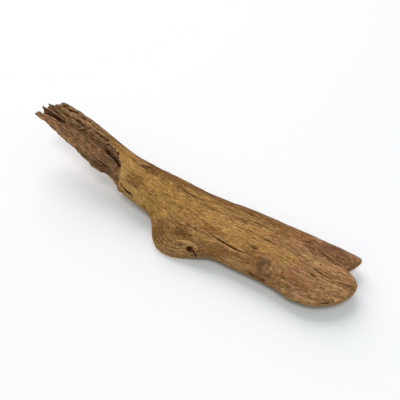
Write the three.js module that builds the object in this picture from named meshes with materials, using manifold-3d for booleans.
// A weathered piece of driftwood, lying as it comes to rest on a table.
// A flat, oval trunk ends in a worn fork at +X. At its crotch it divides into a short branch
// stub, which turns down to the table at the front, and a long arm, which rises towards -X,
// is split open along its upper side and ends in splinters.
// Millimetres, +X along the grain to the forked end, +Y to the back, +Z up.
import * as THREE from "three";
import { mergeVertices } from "three/addons/utils/BufferGeometryUtils.js";
import Module from "manifold-3d";

const wasm = await Module();
wasm.setup();

const { clamp, degToRad, lerp, smoothstep } = THREE.MathUtils;

// Driving dimensions
const TIP_X = -172; // splintered tip of the arm
const END_X = 170.5; // rounded end of the front tine
const CROTCH_X = -21; // where the arm and the stub leave the trunk
const ARM_RISE = Math.tan(degToRad(15));
const TRUNK_AXIS_Z = 10.6; // height of the trunk's mid surface
const PIECE_GAP = 0.3; // clearance kept between neighbouring pieces

// How finely the stick is made
const RING_POINTS = 32;
const STATION_STEP = 5;
const FORK_ZONE = 20; // length of the closely spaced stations at the fork
const FORK_STEP = 2;

// Superellipse exponents of the cross section
const FACE_SQUARENESS = 2.6;
const EDGE_SQUARENESS = 2.1;

const WOOD = {
  trunk: new THREE.MeshStandardMaterial({ color: 0x9a733f, roughness: 0.82, metalness: 0 }),
  arm: new THREE.MeshStandardMaterial({ color: 0x6f5138, roughness: 0.88, metalness: 0 }),
  stub: new THREE.MeshStandardMaterial({ color: 0x8a6438, roughness: 0.85, metalness: 0 }),
};

// A smooth curve through a few [x, value] points, flat beyond its ends
function profile(points) {
  const xs = points.map((p) => p[0]);
  const curve = new THREE.CubicInterpolant(xs, points.map((p) => p[1]), 1, [0]);
  return (x) => curve.evaluate(clamp(x, xs[0], xs[xs.length - 1]))[0];
}

// Smooth repeatable noise from -1 to 1, one lattice cell per unit
function wander(u, v) {
  const corner = (i, j) => {
    const s = Math.sin(i * 127.1 + j * 311.7) * 43758.5453;
    return 2 * (s - Math.floor(s)) - 1;
  };
  const [i, j] = [Math.floor(u), Math.floor(v)];
  const [a, b] = [smoothstep(u - i, 0, 1), smoothstep(v - j, 0, 1)];
  return lerp(
    lerp(corner(i, j), corner(i + 1, j), a),
    lerp(corner(i, j + 1), corner(i + 1, j + 1), a),
    b,
  );
}

// Plan outline: the back edge is almost straight, the front edge swells into the stub
const backEdge = profile([
  [-172, 37], [-160, 39.4], [-150, 40.5], [-118, 38.2], [-95, 35.4], [-70, 32.4], [-56, 32.2],
  [-34, 34.8], [0, 35.8], [40, 36], [65, 37.6], [120, 38], [150, 37.2], [170.5, 36],
]);
const frontEdge = profile([
  [-172, 9.6], [-158, 8], [-144, 5.2], [-122, 2.2], [-108, -1.4], [-92, -4.2], [-78, -3.2],
  [-68, -6.2], [-60, -10], [-42, -12.6], [-28, -15], [-20, -19], [-12, -30], [-5, -37], [3, -40],
  [13, -40.2], [23, -37.8], [34, -33], [45, -29.2], [58, -28], [104, -27.4], [115, -29],
  [125, -30.8], [138, -29.6], [147, -26.8], [154, -22], [160, -17], [165, -10.5], [168.5, -3],
  [170.5, 5],
]);

// Side outline: the mid surface, and how far the skin stands above and below it
const armAxisAt = (x) => TRUNK_AXIS_Z + (CROTCH_X - x) * ARM_RISE;
const axisHeight = profile([
  [-172, armAxisAt(-172)], [-120, armAxisAt(-120)], [-70, armAxisAt(-70)],
  [-36, TRUNK_AXIS_Z + 4.6], [-8, TRUNK_AXIS_Z + 0.9], [20, TRUNK_AXIS_Z], [170.5, TRUNK_AXIS_Z],
]);
const crown = profile([
  [-172, 5.4], [-150, 6.8], [-120, 8], [-80, 8.5], [-40, 9.5], [0, 10.5], [60, 10], [110, 8.5],
  [145, 6.2], [160, 4.4], [170.5, 2.6],
]);
const belly = profile([
  [-172, 6], [-120, 7.5], [-80, 9], [-45, 11], [-20, 11.8], [25, 11.6], [70, 9.6], [104, 11.2],
  [128, 10.9], [150, 7], [162, 4.6], [170.5, 2.8],
]);
const stubDroop = profile([[-30, 0], [-22, 3], [-12, 7], [3, 8.5], [16, 8], [30, 4.5], [44, 0]]);

const KNOT = { x: 96, y: -17, radius: 8, rise: 1.1 };
const STUB_DISH = { x: 14, y: -20, radius: 11, depth: 2.2 };

// Relief of the weathered skin: ridges that follow the grain, strands between them and swellings
const RIDGE = { height: 0.42, spacing: 11, sway: 2.2, swayLength: 207, fadeLength: 132 };
const STRAND = { height: 0.75, length: 46, width: 4.2 };
const SWELLING = { height: 0.9, length: 27, width: 17 };
const EDGE_WANDER = { height: 0.8, length: 13 };
const UNDERSIDE_SHIFT = 400; // takes the underside's relief from another part of the noise

const turns = (x, length) => Math.sin((2 * Math.PI * x) / length);

function grainRelief(x, across) {
  const ridges = RIDGE.height * turns(across + RIDGE.sway * turns(x, RIDGE.swayLength), RIDGE.spacing);
  const strands = STRAND.height * wander(x / STRAND.length, across / STRAND.width);
  const swelling = SWELLING.height * wander(x / SWELLING.length + 9, across / SWELLING.width + 4);
  return ridges * (0.6 + 0.4 * turns(x, RIDGE.fadeLength)) + strands + swelling;
}

// A raised collar with a sunken middle, where a twig once grew
function knotRelief(x, y) {
  const r = Math.hypot(x - KNOT.x, (y - KNOT.y) * 1.15) / KNOT.radius;
  return KNOT.rise * (Math.exp(-(((r - 1) / 0.45) ** 2)) - 0.9 * Math.exp(-((r / 0.5) ** 2)));
}

function dishRelief(x, y) {
  const r = Math.hypot((x - STUB_DISH.x) / 1.4, y - STUB_DISH.y) / STUB_DISH.radius;
  return -STUB_DISH.depth * Math.exp(-r * r);
}

// The section at x: its centre line across, its half width and how much its front edge droops
function sectionAt(x) {
  const [back, front] = [backEdge(x), frontEdge(x)];
  return { middle: (back + front) / 2, halfWidth: (back - front) / 2, droop: stubDroop(x) };
}

// Droop bends the front of the section down, most at the very edge.
const droopAt = (section, share) => section.droop * smoothstep(-share, 0.35, 1) ** 1.4;

// One point of the skin. The angle is 0 at the back edge, a quarter turn on the upper face.
function skinPoint(x, angle) {
  const section = sectionAt(x);
  const [c, s] = [Math.cos(angle), Math.sin(angle)];
  const share = Math.sign(c) * Math.abs(c) ** (2 / FACE_SQUARENESS);
  const lift = Math.sign(s) * Math.abs(s) ** (2 / EDGE_SQUARENESS);
  const y = section.middle + section.halfWidth * share;
  const underside = s < 0;
  const thickness = underside ? belly(x) : crown(x);
  const relief = grainRelief(underside ? x + UNDERSIDE_SHIFT : x, y) * Math.abs(s) ** 0.5;
  const marks = underside ? 0 : knotRelief(x, y) + dishRelief(x, y);
  const edgeWander =
    EDGE_WANDER.height * wander(x / EDGE_WANDER.length, c > 0 ? 31 : 77) * Math.abs(share) ** 3;
  return [
    x,
    y + edgeWander * Math.sign(share),
    axisHeight(x) + thickness * lift + relief * Math.sign(lift) + marks - droopAt(section, share),
  ];
}

// Heights of the upper face and of the underside over a point of the plan, to place cuts on them
function liftAt(section, y) {
  const share = clamp((y - section.middle) / section.halfWidth, -0.98, 0.98);
  return { share, lift: (1 - Math.abs(share) ** FACE_SQUARENESS) ** (1 / EDGE_SQUARENESS) };
}

function faceHeight(x, y) {
  const section = sectionAt(x);
  const { share, lift } = liftAt(section, y);
  return axisHeight(x) + crown(x) * lift - droopAt(section, share) + grainRelief(x, y);
}

function undersideHeight(x, y) {
  const { lift } = liftAt(sectionAt(x), y);
  return Math.max(0, axisHeight(x) - belly(x) * lift - grainRelief(x + UNDERSIDE_SHIFT, y));
}

// Closed solids from rings of points, and the two ways of getting to and from three.js
function ringSolid(rings) {
  const count = rings[0].length;
  const positions = rings.flat(2);
  const triangles = [];
  for (let i = 0; i + 1 < rings.length; i++) {
    for (let j = 0; j < count; j++) {
      const k = (j + 1) % count;
      const [a, b] = [i * count + j, i * count + k];
      triangles.push(a, b, b + count, a, b + count, a + count);
    }
  }
  for (const [first, flip] of [[0, true], [(rings.length - 1) * count, false]]) {
    const ring = rings[first / count];
    const centre = positions.length / 3;
    positions.push(...[0, 1, 2].map((k) => ring.reduce((sum, p) => sum + p[k], 0) / count));
    for (let j = 0; j < count; j++) {
      const [a, b] = [first + j, first + ((j + 1) % count)];
      triangles.push(centre, ...(flip ? [b, a] : [a, b]));
    }
  }
  const solid = solidOf(positions, triangles);
  return solid.volume() > 0 ? solid : solidOf(positions, triangles.reverse());
}

function solidOf(positions, triangles) {
  const mesh = new wasm.Mesh({
    numProp: 3,
    vertProperties: new Float32Array(positions),
    triVerts: new Uint32Array(triangles),
  });
  return new wasm.Manifold(mesh);
}

function solidFrom(geometry) {
  const bare = geometry.clone();
  bare.deleteAttribute("normal");
  bare.deleteAttribute("uv");
  const merged = mergeVertices(bare, 1e-4);
  return solidOf(merged.getAttribute("position").array, merged.index.array);
}

function geometryFrom(solid) {
  const { vertProperties, triVerts } = solid.getMesh();
  const geometry = new THREE.BufferGeometry();
  geometry.setAttribute("position", new THREE.BufferAttribute(vertProperties, 3));
  geometry.setIndex(new THREE.BufferAttribute(triVerts, 1));
  geometry.computeVertexNormals();
  return geometry;
}

// A plan outline as an upright prism between two heights
const ABOVE_ALL = 90;
const BELOW_ALL = -30;

function prism(shape, low = BELOW_ALL, high = ABOVE_ALL) {
  const options = { depth: high - low, bevelEnabled: false, curveSegments: 8 };
  return solidFrom(new THREE.ExtrudeGeometry(shape, options).translate(0, 0, low));
}

const outline = (points) => new THREE.Shape(points.map(([x, y]) => new THREE.Vector2(x, y)));

// The unbroken stick, before anything is split, cut or worn away
function wholeStick() {
  const stations = [];
  for (let x = TIP_X; x < END_X - FORK_ZONE; x += STATION_STEP) stations.push(x);
  for (let x = END_X - FORK_ZONE; x < END_X; x += FORK_STEP) stations.push(x);
  stations.push(END_X);
  const angles = [...Array(RING_POINTS).keys()].map((j) => (2 * Math.PI * j) / RING_POINTS);
  return ringSolid(stations.map((x) => angles.map((angle) => skinPoint(x, angle))));
}

// The worn fork at +X: a V-shaped notch between a pointed back tine and a round front one
function forkCutter() {
  const shape = new THREE.Shape();
  shape.moveTo(150, 60);
  shape.lineTo(158.5, 38);
  shape.quadraticCurveTo(165.5, 36.5, 164.5, 31.5);
  shape.lineTo(157, 18.6);
  shape.quadraticCurveTo(154.8, 15.4, 158.4, 14.9);
  shape.quadraticCurveTo(164.6, 14, 169, 8);
  shape.lineTo(171, 2);
  shape.lineTo(190, 2);
  shape.lineTo(190, 60);
  return prism(shape);
}

// The snapped end at -X, a zigzag of short and long splinters
function snapCutter() {
  return prism(
    outline([
      [-200, -10], [-168, 4], [-171.6, 10], [-168.6, 15], [-166.4, 16.8], [-169, 18.3],
      [-170.6, 20.2], [-166, 21.8], [-165, 24], [-167.4, 26], [-168.6, 28.6], [-162.5, 29.2],
      [-163, 30.8], [-160, 32], [-157.6, 33.2], [-160, 34.8], [-158.6, 37.2], [-154.6, 39.4],
      [-152, 60], [-200, 60],
    ]),
  );
}

// The upper layer of the back ridge has snapped off shorter than the wood beneath it.
const UPPER_LAYER = { x: -160, aboveAxis: 3.2 };

function upperSnapCutter() {
  const shape = outline([
    [-200, 27], [-163, 27.4], [-158.4, 28.4], [-161, 29.6], [-155.4, 30.8], [-157.8, 32.6],
    [-155, 34.4], [-157.6, 36.4], [-153, 38.2], [-155, 50], [-200, 50],
  ]);
  return prism(shape, axisHeight(UPPER_LAYER.x) + UPPER_LAYER.aboveAxis);
}

// The hollow where the arm has split open. Its plan runs from the snapped end to the scarp,
// the broken edge of the sound wood, and its floor steps up twice towards the back ridge.
const HOLLOW = {
  startX: -178, frontY: -16, backY: 34, alongSteps: 22, acrossSteps: 15,
  floorAboveAxis: 0.9, firstStep: 3.4, lastStep: 5, rim: 1.4,
};
const scarpX = profile([
  [-16, -56], [-9, -60], [-2, -66], [6, -70.5], [12, -74], [18, -79.5], [24, -92], [34, -120],
]);
const firstWall = profile([[-172, 17.5], [-142, 20], [-120, 22], [-98, 20], [-78, 16]]);
const lastWall = profile([[-172, 27.5], [-150, 28.5], [-134, 27.5], [-115, 25.6], [-95, 25], [-80, 21]]);

function hollowFloor(x, y) {
  const ragged = 1.2 * wander(x / 7, 3);
  const first = smoothstep(y - firstWall(x) - ragged, -1.5, 1.5);
  const last = smoothstep(y - lastWall(x) - ragged, -2, 2);
  const fibres = 0.9 * wander(x / 30 + 5, y / 2.6) + 0.5 * wander(x / 11, y / 6 + 8);
  const rim = HOLLOW.rim * smoothstep(-x, 100, 150) * smoothstep(firstWall(x) - y, 0, 6);
  const steps = HOLLOW.firstStep * first + HOLLOW.lastStep * last;
  return axisHeight(x) + HOLLOW.floorAboveAxis + steps + fibres + rim;
}

function hollowCutter() {
  const rings = [];
  for (let j = 0; j <= HOLLOW.acrossSteps; j++) {
    const y = lerp(HOLLOW.frontY, HOLLOW.backY, j / HOLLOW.acrossSteps);
    const edge = scarpX(y) + 1.1 * wander(y / 4, 12);
    const ring = [];
    for (let i = 0; i <= HOLLOW.alongSteps; i++) {
      const x = lerp(HOLLOW.startX, edge, i / HOLLOW.alongSteps);
      ring.push([x, y, hollowFloor(x, y)]);
    }
    ring.push([edge, y, ABOVE_ALL], [HOLLOW.startX, y, ABOVE_ALL]);
    rings.push(ring);
  }
  return ringSolid(rings);
}

// A V-shaped groove along a path on a surface. It is deepest in the middle of its run, or at its
// first point where that end is open. A negative depth cuts upwards, into an underside.
const GROOVE = { step: 9, proud: 1.5, thinnest: 0.06, uneven: 0.45, unevenLength: 3 };

function grooveCutter(path, width, depth, surface, openEnd = false) {
  const curve = new THREE.SplineCurve(path.map(([x, y]) => new THREE.Vector2(x, y)));
  const steps = Math.max(4, Math.round(curve.getLength() / GROOVE.step));
  const proud = GROOVE.proud * Math.sign(depth);
  const rings = [];
  for (let i = 0; i <= steps; i++) {
    const t = i / steps;
    const p = curve.getPoint(t);
    const along = curve.getTangent(t);
    const run = openEnd ? Math.sqrt(1 - t) : Math.sin(Math.PI * t) ** 0.6;
    const share = Math.max(GROOVE.thinnest, run);
    const half = (width / 2) * share * (1 + proud / depth);
    const [left, right] = [1, 2].map(
      (side) => half * (1 + GROOVE.uneven * wander(p.x / GROOVE.unevenLength, side * width)),
    );
    const z = surface(p.x, p.y);
    rings.push([
      [p.x - along.y * left, p.y + along.x * left, z + proud],
      [p.x, p.y, z - depth * share],
      [p.x + along.y * right, p.y - along.x * right, z + proud],
    ]);
  }
  return ringSolid(rings);
}

// A worn pit, longer along the grain than across it
function pitCutter(x, y, long, wide, depth, surface) {
  const geometry = new THREE.SphereGeometry(1, 10, 6);
  geometry.scale(long / 2, wide / 2, depth).translate(x, y, surface(x, y));
  return solidFrom(geometry);
}

// Drying cracks and worn furrows in the trunk's upper face
function trunkFaceCutters() {
  return [
    grooveCutter([[11.6, -11.8], [21, -13.4], [30.5, -14.8]], 1.2, 2.8, faceHeight),
    grooveCutter([[32.5, -9.5], [49, -13.1], [60, -14.4], [69.5, -14.6], [77, -13.2]], 1.6, 4.5, faceHeight),
    grooveCutter([[170, -0.9], [150, -2.4], [128, -4.6], [104, -6.8]], 1.8, 1.6, faceHeight, true),
    grooveCutter([[126, 0.8], [146, -0.2], [167, 2.6]], 2.4, 1, faceHeight),
    grooveCutter([[128, 18.9], [140, 16.7], [152, 14]], 2.4, 1.6, faceHeight),
    grooveCutter([[-66, 20.8], [-54, 20.6], [-42, 22.6]], 2.4, 1.5, faceHeight),
    grooveCutter([[-46, 19], [-38, 18.6], [-31, 20.4]], 2, 1.3, faceHeight),
    grooveCutter([[-16, 20.6], [-2, 19], [12, 17.6]], 2.4, 1.4, faceHeight),
    grooveCutter([[56, 19.6], [72, 20.4], [100, 18.6]], 2, 1.2, faceHeight),
    grooveCutter([[64, 7.6], [92, 6.4], [122, 7.2]], 2, 1.2, faceHeight),
    pitCutter(134, -4.8, 8, 2.6, 2.2, faceHeight),
    pitCutter(80, -6.4, 6, 4, 1.2, faceHeight),
  ];
}

// Long furrows weathered into the underside
function undersideCutters() {
  return [
    grooveCutter([[-4, 24], [40, 27], [88, 25], [130, 27]], 4.2, -3, undersideHeight),
    grooveCutter([[-150, 24], [-112, 22], [-70, 18], [-34, 16]], 4.5, -3.4, undersideHeight),
    grooveCutter([[54, -12], [74, -14], [98, -12]], 3.4, -2.6, undersideHeight),
  ];
}

// Gouges eaten into the back ridge: x, y, length, width and how far each leans across the grain
const BACK_RIDGE_GOUGES = [
  [-152, 32.2, 7, 2.6, 0.6], [-145, 32.4, 7, 2.8, -0.7], [-139.6, 33.6, 7, 2.8, 0.6],
  [-132.6, 27, 8, 2.6, 0.4], [-129.4, 31.8, 7, 2.4, 0.5], [-123, 32, 8, 2.2, -0.6],
  [-104, 25.8, 17, 2.6, 0.3], [-88, 22.8, 12, 2.2, -1],
];

// The hollow's own detail: a cleft behind the front flange, strands and a deep slot at the scarp
function armCutters() {
  const cleftSurface = (x) => axisHeight(x) + 0.5;
  const gouge = ([x, y, long, wide, lean]) =>
    grooveCutter([[x - long / 2, y - lean], [x, y], [x + long / 2, y + lean]], wide, wide * 0.8, faceHeight);
  return [
    grooveCutter([[-176, 16.8], [-160, 18.2], [-146, 19.2], [-138, 20]], 5.6, 6, cleftSurface, true),
    grooveCutter([[-176, 21], [-158, 22.6], [-143, 23.4]], 1.9, 4.2, hollowFloor, true),
    grooveCutter([[-176, 23.4], [-160, 25], [-138, 25]], 1.6, 3.6, hollowFloor, true),
    grooveCutter([[-176, 26.4], [-158, 27.6], [-128, 26]], 2.2, 3.4, hollowFloor, true),
    grooveCutter([[-176, 32.5], [-158, 33], [-146, 32]], 2, 3, faceHeight, true),
    grooveCutter([[-73.6, 12], [-83, 15.4], [-92, 17.4], [-102, 18.4]], 3, 5, hollowFloor),
    grooveCutter([[-132, 16.6], [-127.4, 20.2], [-121, 23.2]], 1.6, 1.8, hollowFloor),
    grooveCutter([[-99, 4.6], [-89, 3.2], [-78, 2.2]], 3, 1.6, hollowFloor),
    grooveCutter([[-101, 0.4], [-93, -0.4], [-85, -0.2]], 2.2, 1.2, hollowFloor),
    ...BACK_RIDGE_GOUGES.map(gouge),
  ];
}

// The rot hole in the stub's flank, and the cleft that runs down from it to the table
function stubCutters() {
  return [
    pitCutter(29, -31.4, 6.6, 3.8, 3.6, faceHeight),
    grooveCutter([[30.6, -31.6], [34, -34.2], [38.4, -36.6]], 2, 4, (x, y) => faceHeight(x, y) - 1),
  ];
}

// The sliver that has lifted under the front of the scarp
function sliverCutter() {
  const height = (x) => axisHeight(x) + 3.2;
  return grooveCutter([[-66, -6], [-56, -9.2], [-46, -11], [-39, -11.4]], 1.1, 4.5, height);
}

// Everything below the table is worn off flat, which leaves the faces that the piece rests on.
function belowTable() {
  return prism(outline([[-300, -150], [300, -150], [300, 150], [-300, 150]]), 2 * BELOW_ALL, 0);
}

// Plan regions of the arm and the stub, which meet the trunk at the crotch
function armRegion(gap) {
  const x = CROTCH_X - gap;
  return prism(outline([[-260, -90], [x, -90], [x, 90], [-260, 90]]));
}

function stubRegion(gap) {
  const left = CROTCH_X + gap;
  return prism(
    outline([[left, -90], [46, -90], [41 - gap, -29 - gap], [14, -25 - gap], [left, -14.5 - gap]]),
  );
}

// Booleans can leave crumbs: the piece is the largest body.
function largestBody(solid) {
  return solid.decompose().reduce((most, body) => (body.volume() > most.volume() ? body : most));
}

const cutters = [
  forkCutter(), snapCutter(), upperSnapCutter(), hollowCutter(), sliverCutter(), belowTable(),
  ...trunkFaceCutters(), ...armCutters(), ...stubCutters(), ...undersideCutters(),
];
const stick = cutters.reduce((rest, cutter) => rest.subtract(cutter), wholeStick());

const limbs = {
  trunk: [stick.subtract(armRegion(0)).subtract(stubRegion(0)), WOOD.trunk],
  splintered_arm: [stick.intersect(armRegion(PIECE_GAP)), WOOD.arm],
  branch_stub: [stick.intersect(stubRegion(PIECE_GAP)), WOOD.stub],
};

// The origin is under the middle of the whole piece, on the table.
const { min, max } = stick.boundingBox();
const driftwood = new THREE.Group();
for (const [name, [solid, material]] of Object.entries(limbs)) {
  const mesh = new THREE.Mesh(geometryFrom(largestBody(solid)), material);
  mesh.name = name;
  mesh.position.set(-(min[0] + max[0]) / 2, -(min[1] + max[1]) / 2, -min[2]);
  driftwood.add(mesh);
}

export default driftwood;
